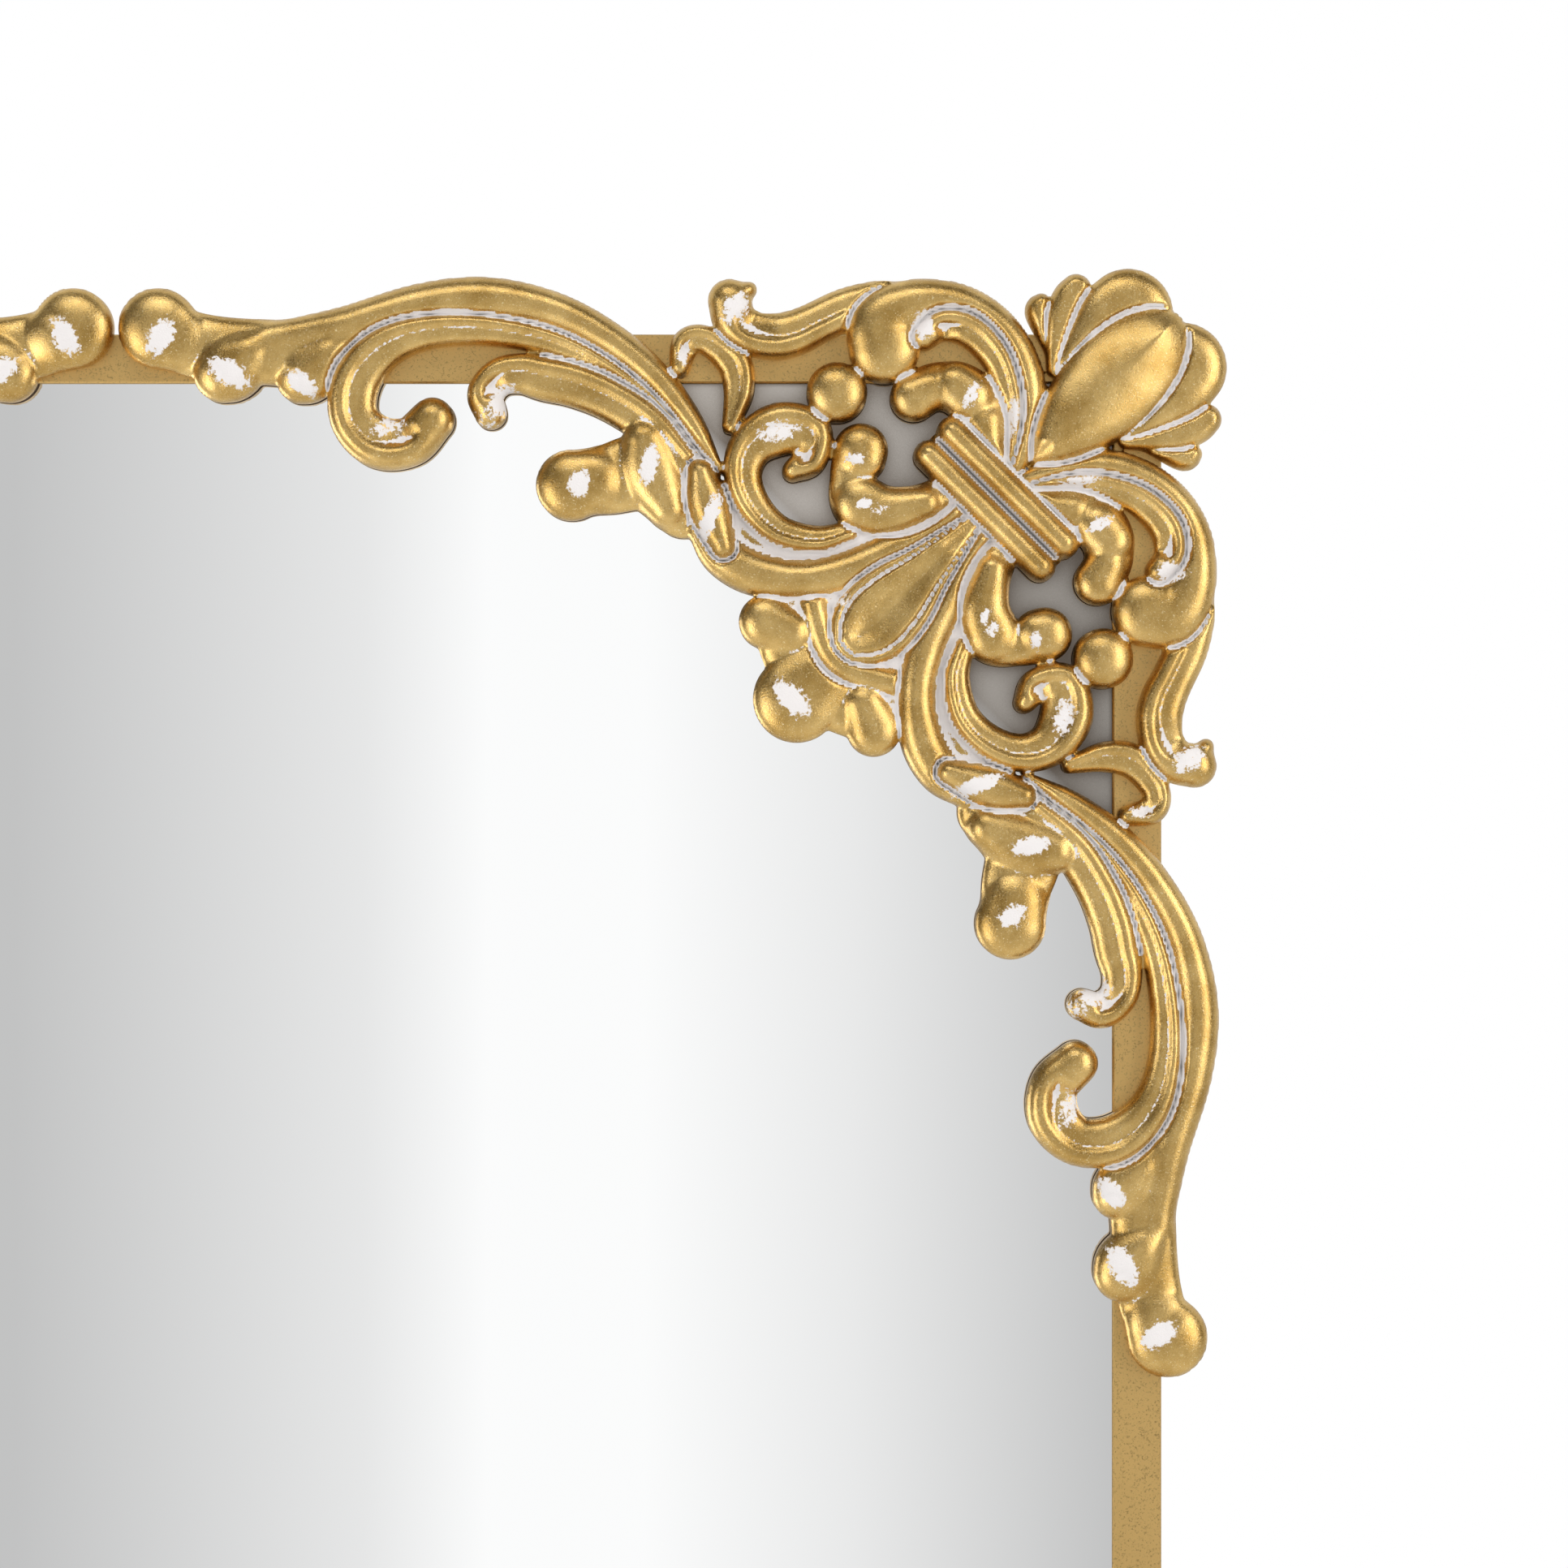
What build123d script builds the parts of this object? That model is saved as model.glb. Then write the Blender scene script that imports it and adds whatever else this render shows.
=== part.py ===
from build123d import *
from math import atan2, cos, radians, sin, sqrt
import os

# Rectangular floor mirror in a slim metal section frame, with an openwork cast
# ornament screwed over each corner. Front faces -Y, up is +Z, the origin lies on
# the floor under the middle of the mirror.

# Frame section, measured inwards from the outer edge and back from the front face
frame_width = 813.0
frame_height = 1753.0
frame_depth = 22.0
face_width = 19.0
section_wall = 1.6
lip_width = 8.0
rear_channel = 5.1
edge_rounding = 0.7

# Glass packet behind the front flange
glass_edge = 10.0
tape_thickness = 0.8
tape_inset = 1.0
glass_thickness = 4.0
glass_seam = 0.5
board_thickness = 5.0
clip_gap = 2.5

# Spring clips
clip_width = 14.0
clip_reach = 26.0
clip_sheet = 0.6
clip_seat = 0.1
clip_side_gap = 1.0
clips_per_stile = 4
clips_per_rail = 2

# Corner keys
key_leg = 48.0
key_play = 0.15
key_chamfer = 4.0

# Corner ornament
ornament_gap = 2.0
casting_depth = 16.0
crest_share = 0.42
ball_crest = 0.5
screw_inset = 5.6

# Ornament screws
screw_radius = 1.6
screw_head_radius = 3.0
screw_head_height = 1.3
screw_bite = 4.5
screw_play = 0.1

# Hangers on the stiles
hanger_drop = 330.0
strap_width = 8.6
strap_length = 34.0
strap_sheet = 1.2
strap_end = 6.0
strap_screw_spacing = 16.0
strap_screw_length = 4.0
ring_wire = 2.4
ring_play = 0.3
ring_inner_width = 15.0
ring_length = 24.0

# Wall pads
pad_width = 9.0
pad_length = 26.0
pad_thickness = 7.0
pad_corner = 2.0
pad_end_distance = 60.0

# The drawing of the casting below is made in mm for an arm and a depth of this size
drawn_arm = 405.5
drawn_depth = 16.0
arm_length = (frame_width - ornament_gap) / 2
carving_scale = arm_length / drawn_arm
relief_scale = casting_depth / drawn_depth
far_screw = 334.0 * carving_scale
near_screw = 57.0 * carving_scale

# Depth stations, front to back, counted from the front face of the frame
glass_front = section_wall + tape_thickness
board_front = glass_front + glass_thickness
board_back = board_front + board_thickness
divider_front = board_back + clip_gap
back_lip_front = frame_depth - section_wall
divider_thickness = back_lip_front - rear_channel - divider_front
total_depth = casting_depth + frame_depth + pad_thickness
front_y = casting_depth - total_depth / 2
back_y = front_y + frame_depth

# Scrolls and leaves of one arm, as stations along the middle of each band:
# distance from the outer corner along the rail, distance in from the outer edge
# of the frame, and width. Before the stations stands the height of the crest.
# A band under FREE_ENDS starts at a free, rounded end.
ARM_BANDS = {
    "neck": (9.5, [(381, 2.5, 20), (361, 8, 25), (320, 7, 24)]),
    "near_twist": (12.5, [(350, 1, 10), (360.5, 12.5, 23), (369, 23, 9)]),
    "far_twist": (12, [(322, 8, 10), (332.5, 19, 21), (340, 28, 9)]),
    "long_leaf": (13, [
        (342, 1.5, 12), (300, -7, 16.5), (262.5, -13.5, 17), (231, -6.5, 15),
        (205, 9.5, 13), (186, 30, 10.5), (171.5, 53, 2.5),
    ]),
    "leaf_scroll": (11.5, [
        (284, 33.5, 16), (293, 42.5, 19), (307, 41.5, 20.5), (315, 28, 19),
        (309, 12, 18), (292, 1.5, 14.5), (262, -2.5, 11),
    ]),
    "leaf_hook": (10.5, [
        (261, 31, 12.5), (263, 22, 14), (253.5, 15.5, 15), (238, 15, 22), (216, 19.5, 24),
        (183.5, 53, 9),
    ]),
    "paw_bridge": (9.5, [(229, 58.5, 22), (214, 55, 23), (200, 53, 26)]),
    "paw_lobe": (12, [(199, 42, 18), (196, 56, 31), (185, 71, 24)]),
    "paw_root": (13, [(181, 54, 8), (176, 70.5, 17), (169, 89, 9)]),
    "stem": (13.5, [
        (177, 68, 16), (168, 87, 18), (149, 95.5, 17), (126, 93.5, 15.5),
        (102, 83, 15.5), (75, 65, 7.5),
    ]),
    "volute": (12.5, [
        (144, 53, 9.5), (136.5, 46.5, 13.5), (137, 36, 14.5), (149, 31.5, 13.5), (161, 39, 14),
        (163, 57, 14), (152, 74.5, 13), (136, 80, 10.5), (119, 78, 8),
    ]),
    "small_hook": (10, [
        (188, 12.5, 8), (184, 3.5, 10), (172.5, 4.5, 12.5), (165, 16.5, 13), (169, 36, 6),
    ]),
    "crest_scroll": (12, [
        (168, -12.5, 17), (163.5, -3, 17), (151, 1, 18), (132, -5.5, 17), (108, -15, 12),
    ]),
    "great_scroll": (13, [
        (113, -5, 14), (103, -12, 18), (85, -13, 19), (69, -5, 20.5),
        (57, 9, 21), (54, 26, 20), (58.5, 58, 4.5),
    ]),
    "acanthus": (11.5, [(99, 25, 12), (89, 20.5, 16), (77, 25.5, 17), (64, 53, 7)]),
    "double_lobe": (11, [
        (115, 43, 12), (121.5, 53, 16), (114, 66, 17), (96, 67, 14), (76, 55, 8),
    ]),
    "ground": (4, [(186, 42, 8), (164, 78, 14), (132, 86, 12), (82, 66, 10)]),
    "great_petal": (10.5, [(11, -11.5, 29), (16, -6, 34.5), (28, 5, 20)]),
    "middle_petal": (10, [(33.5, -15.5, 13), (36.5, -8, 16), (41, 10, 6)]),
    "small_petal": (9.5, [(47, -12, 7), (48, -8.5, 10), (43, 3, 8)]),
}
FREE_ENDS = ("leaf_scroll", "leaf_hook", "crest_scroll", "acanthus", "double_lobe", "great_petal",
             "middle_petal")

BALL_FACETS = 14

# Balls and beads of one arm: distance along, distance in, radius, height
ARM_BALLS = {
    "end_ball": (389, -2, 16.5, 14),
    "paw_ball": (229, 58.5, 14.2, 13),
    "bead": (126.5, 23, 11.7, 14),
    "scroll_ball": (108, 5.5, 14.5, 14.5),
    "shell_side": (153.5, 111.5, 11, 11),
}

# Pieces on the diagonal of the corner: distance in along the diagonal, width
LEAF_HEIGHT = 15.0
POINTED_LEAF = [(66, 6), (49, 30), (35.5, 38.5), (17.5, 37), (3, 26), (-6, 1.5)]
FAN_HEIGHT = 12.0
FAN = [(99, 6), (130, 20), (152, 33), (165, 35), (172, 22)]
SHELL_RIM_HEIGHT = 10.5
SHELL_RIM = [(137, 98, 10), (134, 112, 11), (127, 127, 11.5), (112, 134, 11), (98, 137, 10)]
SHELL_BALL = (141, 141.5, 19, 12.5)
TIE_RADIUS = 4.9
TIE_HALF_LENGTH = 31.5
TIE_MIDDLES = (85.0, 97.7)


def drawn(along, inward):
    """A point of the drawing as x and z, the outer corner of the frame being (0, 0)."""
    return -along * carving_scale, -inward * carving_scale


def edge_points(stations, width_share, rounded):
    """Both edges of a band and its rounded end, as one closed run of points."""
    left, right, headings = [], [], []
    for before, after in zip([stations[0]] + stations[:-1], stations[1:] + [stations[-1]]):
        headings.append(atan2(after[1] - before[1], after[0] - before[0]))
    for (along, inward, width), heading in zip(stations, headings):
        half = width * width_share / 2
        side = (-sin(heading) * half, cos(heading) * half)
        left.append((along + side[0], inward + side[1]))
        right.append((along - side[0], inward - side[1]))
    cap = []
    if rounded:
        along, inward, width = stations[0]
        half = width * width_share / 2
        for turn in (radians(230), radians(130)):
            heading = headings[0] + turn
            cap.append((along + cos(heading) * half, inward + sin(heading) * half))
    return [drawn(*point) for point in left + right[::-1] + cap]


def carved_band(stations, height, crest=crest_share, rounded=False):
    """A band of the casting, drafted from its full width at the back to a narrow crest."""
    with BuildPart() as band:
        for level, share in ((0, 1), (height * relief_scale, crest)):
            with BuildSketch(Plane.XZ.offset(level)):
                with BuildLine():
                    Polyline(*edge_points(stations, share, rounded), close=True)
                make_face()
        loft(ruled=True)
    return band.part


def diagonal_stations(stations):
    return [(run / sqrt(2), run / sqrt(2), width) for run, width in stations]


def drafted_ball(along, inward, radius, height):
    """A faceted boss of the casting, drafted like the bands."""
    x, z = drawn(along, inward)
    size = radius * carving_scale
    with BuildPart() as ball:
        for level, reach in ((0, size), (height * relief_scale, size * ball_crest)):
            with BuildSketch(Plane.XZ.offset(level)):
                with Locations((x, z)):
                    RegularPolygon(reach, BALL_FACETS)
        loft(ruled=True)
    return ball.part


def tie_bar(middle):
    """One of the two bars with bevelled ends that bind the scrolls across the diagonal."""
    x, z = drawn(middle / sqrt(2), middle / sqrt(2))
    tie_plane = Plane(origin=(x, 0, z), x_dir=(1, 0, -1), z_dir=(0, -1, 0))
    radius = TIE_RADIUS * carving_scale
    with BuildPart() as bar:
        with BuildSketch(tie_plane) as outline:
            Rectangle(2 * (TIE_HALF_LENGTH * carving_scale + radius), 2 * radius)
            chamfer(outline.vertices(), length=radius * 0.6)
        extrude(amount=casting_depth)
    return bar.part


# One casting, its outer corner at the origin and its back on the XZ plane
diagonal_mirror = Plane(origin=(0, 0, 0), z_dir=(-1, 0, 1))
arm_pieces = [
    carved_band(stations, height, rounded=name in FREE_ENDS)
    for name, (height, stations) in ARM_BANDS.items()
]
arm_pieces += [drafted_ball(*ball) for ball in ARM_BALLS.values()]
corner_pieces = [
    carved_band(diagonal_stations(POINTED_LEAF), LEAF_HEIGHT, 0.12),
    carved_band(diagonal_stations(FAN), FAN_HEIGHT, 0.5),
    carved_band(SHELL_RIM, SHELL_RIM_HEIGHT),
    drafted_ball(*SHELL_BALL),
] + [tie_bar(middle) for middle in TIE_MIDDLES]
casting_screws = [
    (-far_screw, -screw_inset), (-near_screw, -screw_inset), (-screw_inset, -far_screw),
]

with BuildPart() as casting:
    add(arm_pieces + corner_pieces)
    mirror(Compound(arm_pieces), about=diagonal_mirror)
    with BuildSketch(Plane.XZ):
        with Locations(*casting_screws):
            Circle(screw_radius + screw_play)
    extrude(amount=screw_bite + screw_play, mode=Mode.SUBTRACT)

overhang = casting.part.bounding_box().max.Z
frame_bottom = overhang
frame_top = frame_bottom + frame_height
frame_middle = frame_bottom + frame_height / 2
half_width = frame_width / 2

# Places of the four sides: along X, outer edge on Z = 0, front face on Y = 0
top_side = Location((0, front_y, frame_top))
bottom_side = Location((0, front_y, frame_bottom), (0, 180, 0))
right_side = Location((half_width, front_y, frame_middle), (0, 90, 0))
left_side = Location((-half_width, front_y, frame_middle), (0, -90, 0))


def frame_side(length, flange_holes, lip_holes):
    """One mitred length of the frame section, with its screw holes."""
    lip_reach = section_wall + lip_width
    profile = [
        (0, 0), (0, -face_width), (section_wall, -face_width), (section_wall, -section_wall),
        (divider_front, -section_wall), (divider_front, -lip_reach),
        (divider_front + divider_thickness, -lip_reach),
        (divider_front + divider_thickness, -section_wall), (back_lip_front, -section_wall),
        (back_lip_front, -lip_reach), (frame_depth, -lip_reach), (frame_depth, 0),
    ]
    with BuildPart() as side:
        with BuildSketch(Plane.YZ.offset(-length / 2)):
            with BuildLine():
                Polyline(*profile, close=True)
            make_face()
        extrude(amount=length)
        front_edges = side.faces().sort_by(Axis.Y)[0].edges().filter_by(Axis.X)
        chamfer(front_edges, length=edge_rounding)
        for end in (-1, 1):
            mitre = Plane(origin=(end * length / 2, 0, 0), z_dir=(end, 0, -1))
            split(bisect_by=mitre, keep=Keep.BOTTOM)
        with BuildSketch(Plane.XZ):
            with Locations(*flange_holes):
                Circle(screw_radius + screw_play)
        extrude(amount=-section_wall, mode=Mode.SUBTRACT)
        if lip_holes:
            with BuildSketch(Plane.XZ.offset(-back_lip_front)):
                with Locations(*lip_holes):
                    Circle(screw_radius + screw_play)
            extrude(amount=-section_wall, mode=Mode.SUBTRACT)
    return side.part


def mirrored_pair(value, height):
    return [(-value, height), (value, height)]


rail_screws = mirrored_pair(half_width - far_screw, -screw_inset)
rail_screws += mirrored_pair(half_width - near_screw, -screw_inset)
stile_screws = mirrored_pair(frame_height / 2 - far_screw, -screw_inset)
strap_top = frame_height / 2 - hanger_drop
strap_screw_runs = [strap_top - strap_end, strap_top - strap_end - strap_screw_spacing]
strap_inset = (section_wall + lip_width) / 2
rail_part = frame_side(frame_width, rail_screws, [])
right_stile_part = frame_side(
    frame_height, stile_screws, [(-run, -strap_inset) for run in strap_screw_runs]
)
left_stile_part = frame_side(
    frame_height, stile_screws, [(run, -strap_inset) for run in strap_screw_runs]
)

with BuildPart() as top_rail:
    add(rail_part.moved(top_side))
with BuildPart() as bottom_rail:
    add(rail_part.moved(bottom_side))
with BuildPart() as right_stile:
    add(right_stile_part.moved(right_side))
with BuildPart() as left_stile:
    add(left_stile_part.moved(left_side))

# The four castings
top_right_place = Location((half_width, front_y, frame_top))
middle_plane = Plane(origin=(0, 0, frame_middle), z_dir=(0, 0, 1))
with BuildPart() as ornament_top_right:
    add(casting.part.moved(top_right_place))
with BuildPart() as ornament_top_left:
    mirror(ornament_top_right.part, about=Plane.YZ)
with BuildPart() as ornament_bottom_right:
    mirror(ornament_top_right.part, about=middle_plane)
with BuildPart() as ornament_bottom_left:
    mirror(ornament_top_left.part, about=middle_plane)

# Screws from behind the front flange into the castings
screw_face = front_y + section_wall
corner_screw_points = [(half_width + x, frame_height / 2 + z) for x, z in casting_screws]
screw_points = [
    (right * x, frame_middle + up * z)
    for right in (-1, 1) for up in (-1, 1) for x, z in corner_screw_points
]
with BuildPart() as ornament_screws:
    with BuildSketch(Plane.XZ.offset(-screw_face - screw_head_height)):
        with Locations(*screw_points):
            RegularPolygon(screw_head_radius, 6)
    extrude(amount=screw_head_height)
    with BuildSketch(Plane.XZ.offset(-screw_face)):
        with Locations(*screw_points):
            Circle(screw_radius)
    extrude(amount=section_wall + screw_bite)

# Glass packet
packet_width = frame_width - 2 * glass_edge
packet_height = frame_height - 2 * glass_edge
with BuildPart() as mirror_glass:
    with BuildSketch(Plane.XZ.offset(-front_y - glass_front)):
        with Locations((0, frame_middle)):
            Rectangle(packet_width, packet_height)
    extrude(amount=-glass_thickness)
    chamfer(mirror_glass.faces().sort_by(Axis.Y)[0].edges(), length=glass_seam)

with BuildPart() as backing_board:
    with BuildSketch(Plane.XZ.offset(-front_y - board_front)):
        with Locations((0, frame_middle)):
            Rectangle(packet_width, packet_height)
    extrude(amount=-board_thickness)

tape_outer = glass_edge + glass_seam
tape_width = face_width - tape_inset - tape_outer
with BuildPart() as glass_tape:
    with BuildSketch(Plane.XZ.offset(-front_y - section_wall)):
        with Locations((0, frame_middle)):
            Rectangle(frame_width - 2 * tape_outer, frame_height - 2 * tape_outer)
            Rectangle(
                frame_width - 2 * (tape_outer + tape_width),
                frame_height - 2 * (tape_outer + tape_width),
                mode=Mode.SUBTRACT,
            )
    extrude(amount=-tape_thickness)

# Spring clips between the board and the divider lip
clip_ends = divider_front - clip_seat - clip_sheet
clip_belly = board_back + clip_seat
clip_start = section_wall + clip_side_gap
with BuildPart() as clip:
    with BuildSketch(Plane.YZ.offset(-clip_width / 2)):
        with BuildLine():
            front_start, front_end = (clip_ends, -clip_start), (clip_ends, -clip_reach)
            middle = -(clip_start + clip_reach) / 2
            ThreePointArc(front_start, (clip_belly, middle), front_end)
            Line(front_end, (clip_ends + clip_sheet, -clip_reach))
            ThreePointArc(
                (clip_ends + clip_sheet, -clip_reach),
                (clip_belly + clip_sheet, middle),
                (clip_ends + clip_sheet, -clip_start),
            )
            Line((clip_ends + clip_sheet, -clip_start), front_start)
        make_face()
    extrude(amount=clip_width)


def spread_along(length, count):
    """Evenly spread places along a side, half a gap in from its ends."""
    gap = length / count
    return [gap * (i + 0.5) - length / 2 for i in range(count)]


with BuildPart() as spring_clips:
    for side_place, length, count in (
        (top_side, frame_width, clips_per_rail), (bottom_side, frame_width, clips_per_rail),
        (left_side, frame_height, clips_per_stile), (right_side, frame_height, clips_per_stile),
    ):
        for run in spread_along(length, count):
            add(clip.part.moved(side_place * Location((run, 0, 0))))

# Corner keys pressed into the rear channel
key_outer = section_wall + key_play
key_width = lip_width - 2 * key_play
with BuildPart() as corner_key:
    with BuildSketch(Plane.XZ.offset(-back_lip_front + key_play)):
        with BuildLine():
            Polyline(
                (-key_outer, -key_outer), (-key_outer - key_leg, -key_outer),
                (-key_outer - key_leg, -key_outer - key_width),
                (-key_outer - key_width, -key_outer - key_width),
                (-key_outer - key_width, -key_outer - key_leg), (-key_outer, -key_outer - key_leg),
                close=True,
            )
        make_face()
    extrude(amount=rear_channel - 2 * key_play)
    outer_corner = Vertex(-key_outer, -back_lip_front, -key_outer)
    upright_edges = corner_key.edges().filter_by(Axis.Y)
    chamfer(upright_edges.sort_by_distance(outer_corner)[0], length=key_chamfer)

with BuildPart() as corner_key_top_right:
    add(corner_key.part.moved(top_right_place))
with BuildPart() as corner_key_top_left:
    mirror(corner_key_top_right.part, about=Plane.YZ)
with BuildPart() as corner_key_bottom_right:
    mirror(corner_key_top_right.part, about=middle_plane)
with BuildPart() as corner_key_bottom_left:
    mirror(corner_key_top_left.part, about=middle_plane)

# Hanger straps: flat on the back lip, curled at the lower end round the ring
knuckle_bore = ring_wire / 2 + ring_play
knuckle_radius = knuckle_bore + strap_sheet
strap_x = half_width - strap_inset
strap_top_z = frame_middle + strap_top
hinge_z = strap_top_z - strap_length
hinge_y = back_y + knuckle_radius
strap_screw_points = [(strap_x, frame_middle + run) for run in strap_screw_runs]
with BuildPart() as strap_right:
    with BuildSketch(Plane.YZ.offset(strap_x - strap_width / 2)):
        with Locations((back_y + strap_sheet / 2, strap_top_z - strap_length / 2)):
            Rectangle(strap_sheet, strap_length)
        with Locations((hinge_y, hinge_z)):
            Circle(knuckle_radius)
            Circle(knuckle_bore, mode=Mode.SUBTRACT)
    extrude(amount=strap_width)
    with BuildSketch(Plane.XZ.offset(-back_y)):
        with Locations(*strap_screw_points):
            Circle(screw_radius + screw_play)
    extrude(amount=-strap_sheet, mode=Mode.SUBTRACT)
with BuildPart() as strap_left:
    mirror(strap_right.part, about=Plane.YZ)

with BuildPart() as strap_screws:
    both_sides = strap_screw_points + [(-x, z) for x, z in strap_screw_points]
    with BuildSketch(Plane.XZ.offset(-back_y - strap_sheet - screw_head_height)):
        with Locations(*both_sides):
            RegularPolygon(screw_head_radius, 6)
    extrude(amount=screw_head_height)
    with BuildSketch(Plane.XZ.offset(-back_y - strap_sheet)):
        with Locations(*both_sides):
            Circle(screw_radius)
    extrude(amount=strap_screw_length)

# D-rings, hanging straight down from the curled straps
leg_length = ring_length - ring_inner_width / 2
with BuildPart() as ring_right:
    with BuildSketch(Plane.XZ.offset(-hinge_y + ring_wire / 2)):
        for reach, mode in ((ring_wire, Mode.ADD), (0, Mode.SUBTRACT)):
            loop_width = ring_inner_width + 2 * reach
            loop_top = hinge_z + ring_wire / 2 if reach else hinge_z + ring_wire
            loop_low = hinge_z - leg_length
            with BuildLine():
                Polyline(
                    (strap_x - loop_width / 2, loop_low), (strap_x - loop_width / 2, loop_top),
                    (strap_x + loop_width / 2, loop_top), (strap_x + loop_width / 2, loop_low),
                )
                RadiusArc(
                    (strap_x + loop_width / 2, loop_low), (strap_x - loop_width / 2, loop_low),
                    loop_width / 2,
                )
            make_face(mode=mode)
    extrude(amount=-ring_wire)
    with BuildSketch(Plane.YZ.offset(strap_x - ring_inner_width / 2)):
        with Locations((hinge_y, hinge_z)):
            Circle(ring_wire / 2)
    extrude(amount=ring_inner_width)
with BuildPart() as ring_left:
    mirror(ring_right.part, about=Plane.YZ)

# Rubber pads that keep the back and the rings off the wall
pad_run = frame_height / 2 - pad_end_distance
with BuildPart() as wall_pads:
    with BuildSketch(Plane.XZ.offset(-back_y)):
        with Locations(*[
            (right * strap_x, frame_middle + up * pad_run) for right in (-1, 1) for up in (-1, 1)
        ]):
            pads = Rectangle(pad_width, pad_length)
        chamfer(pads.vertices(), length=pad_corner)
    extrude(amount=-pad_thickness)

nodes = {
    "top_rail": top_rail, "bottom_rail": bottom_rail,
    "left_stile": left_stile, "right_stile": right_stile,
    "ornament_top_left": ornament_top_left, "ornament_top_right": ornament_top_right,
    "ornament_bottom_left": ornament_bottom_left, "ornament_bottom_right": ornament_bottom_right,
    "ornament_screws": ornament_screws,
    "mirror_glass": mirror_glass, "glass_tape": glass_tape, "backing_board": backing_board,
    "spring_clips": spring_clips,
    "corner_key_top_left": corner_key_top_left, "corner_key_top_right": corner_key_top_right,
    "corner_key_bottom_left": corner_key_bottom_left,
    "corner_key_bottom_right": corner_key_bottom_right,
    "hanger_strap_left": strap_left, "hanger_strap_right": strap_right,
    "strap_screws": strap_screws,
    "d_ring_left": ring_left, "d_ring_right": ring_right,
    "wall_pads": wall_pads,
}
os.makedirs("parts", exist_ok=True)
for node_name, node in nodes.items():
    node.part.label = node_name
    export_step(node.part, f"parts/{node_name}.step")
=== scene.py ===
"""Leaning floor mirror with gilded corner castings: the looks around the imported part."""

import math

import bmesh
import bpy
import numpy as np
from bpy.props import FloatProperty, FloatVectorProperty, PointerProperty
from mathutils import Matrix, Vector


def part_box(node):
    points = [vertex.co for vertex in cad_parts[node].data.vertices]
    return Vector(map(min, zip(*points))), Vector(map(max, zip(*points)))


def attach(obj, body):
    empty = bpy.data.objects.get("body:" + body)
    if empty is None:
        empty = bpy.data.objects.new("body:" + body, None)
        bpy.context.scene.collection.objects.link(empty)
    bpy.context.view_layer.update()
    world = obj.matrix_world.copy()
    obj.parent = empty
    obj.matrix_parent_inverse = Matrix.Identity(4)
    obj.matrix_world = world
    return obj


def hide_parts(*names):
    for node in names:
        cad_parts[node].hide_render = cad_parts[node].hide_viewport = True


bl_info = {
    "name": "Gilded floor mirror",
    "version": (1, 0, 0),
    "blender": (4, 5, 0),
    "location": "3D View > Sidebar > Mirror",
    "description": "Carved corners, gilding, glass, back and studio of a leaning floor mirror",
    "category": "Object",
}

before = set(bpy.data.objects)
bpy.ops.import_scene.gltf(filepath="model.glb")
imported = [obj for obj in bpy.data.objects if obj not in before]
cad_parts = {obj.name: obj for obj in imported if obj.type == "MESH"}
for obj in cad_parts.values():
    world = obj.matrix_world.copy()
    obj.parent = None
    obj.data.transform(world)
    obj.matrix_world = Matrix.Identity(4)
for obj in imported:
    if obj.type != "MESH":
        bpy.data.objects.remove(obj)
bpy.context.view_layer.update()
MM = 0.001

# The photo: its size in pixels, its scale in mm per pixel, and the frame's outer corner in it
PHOTO_SIZE = 1932
PHOTO_SCALE = 0.316
PHOTO_CORNER = (1431, 412)

# Reference faces of the frame, in mm
HALF_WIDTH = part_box("right_stile")[1].x / MM
FRAME_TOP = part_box("top_rail")[1].z / MM
FRAME_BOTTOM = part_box("bottom_rail")[0].z / MM
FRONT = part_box("top_rail")[0].y / MM
HALF_HEIGHT = (FRAME_TOP - FRAME_BOTTOM) / 2
MIDDLE = (FRAME_TOP + FRAME_BOTTOM) / 2
CAST_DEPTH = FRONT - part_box("ornament_top_right")[0].y / MM
CORNERS = {
    "ornament_top_left": (-1, 1),
    "ornament_top_right": (1, 1),
    "ornament_bottom_left": (-1, -1),
    "ornament_bottom_right": (1, -1),
}

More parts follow.
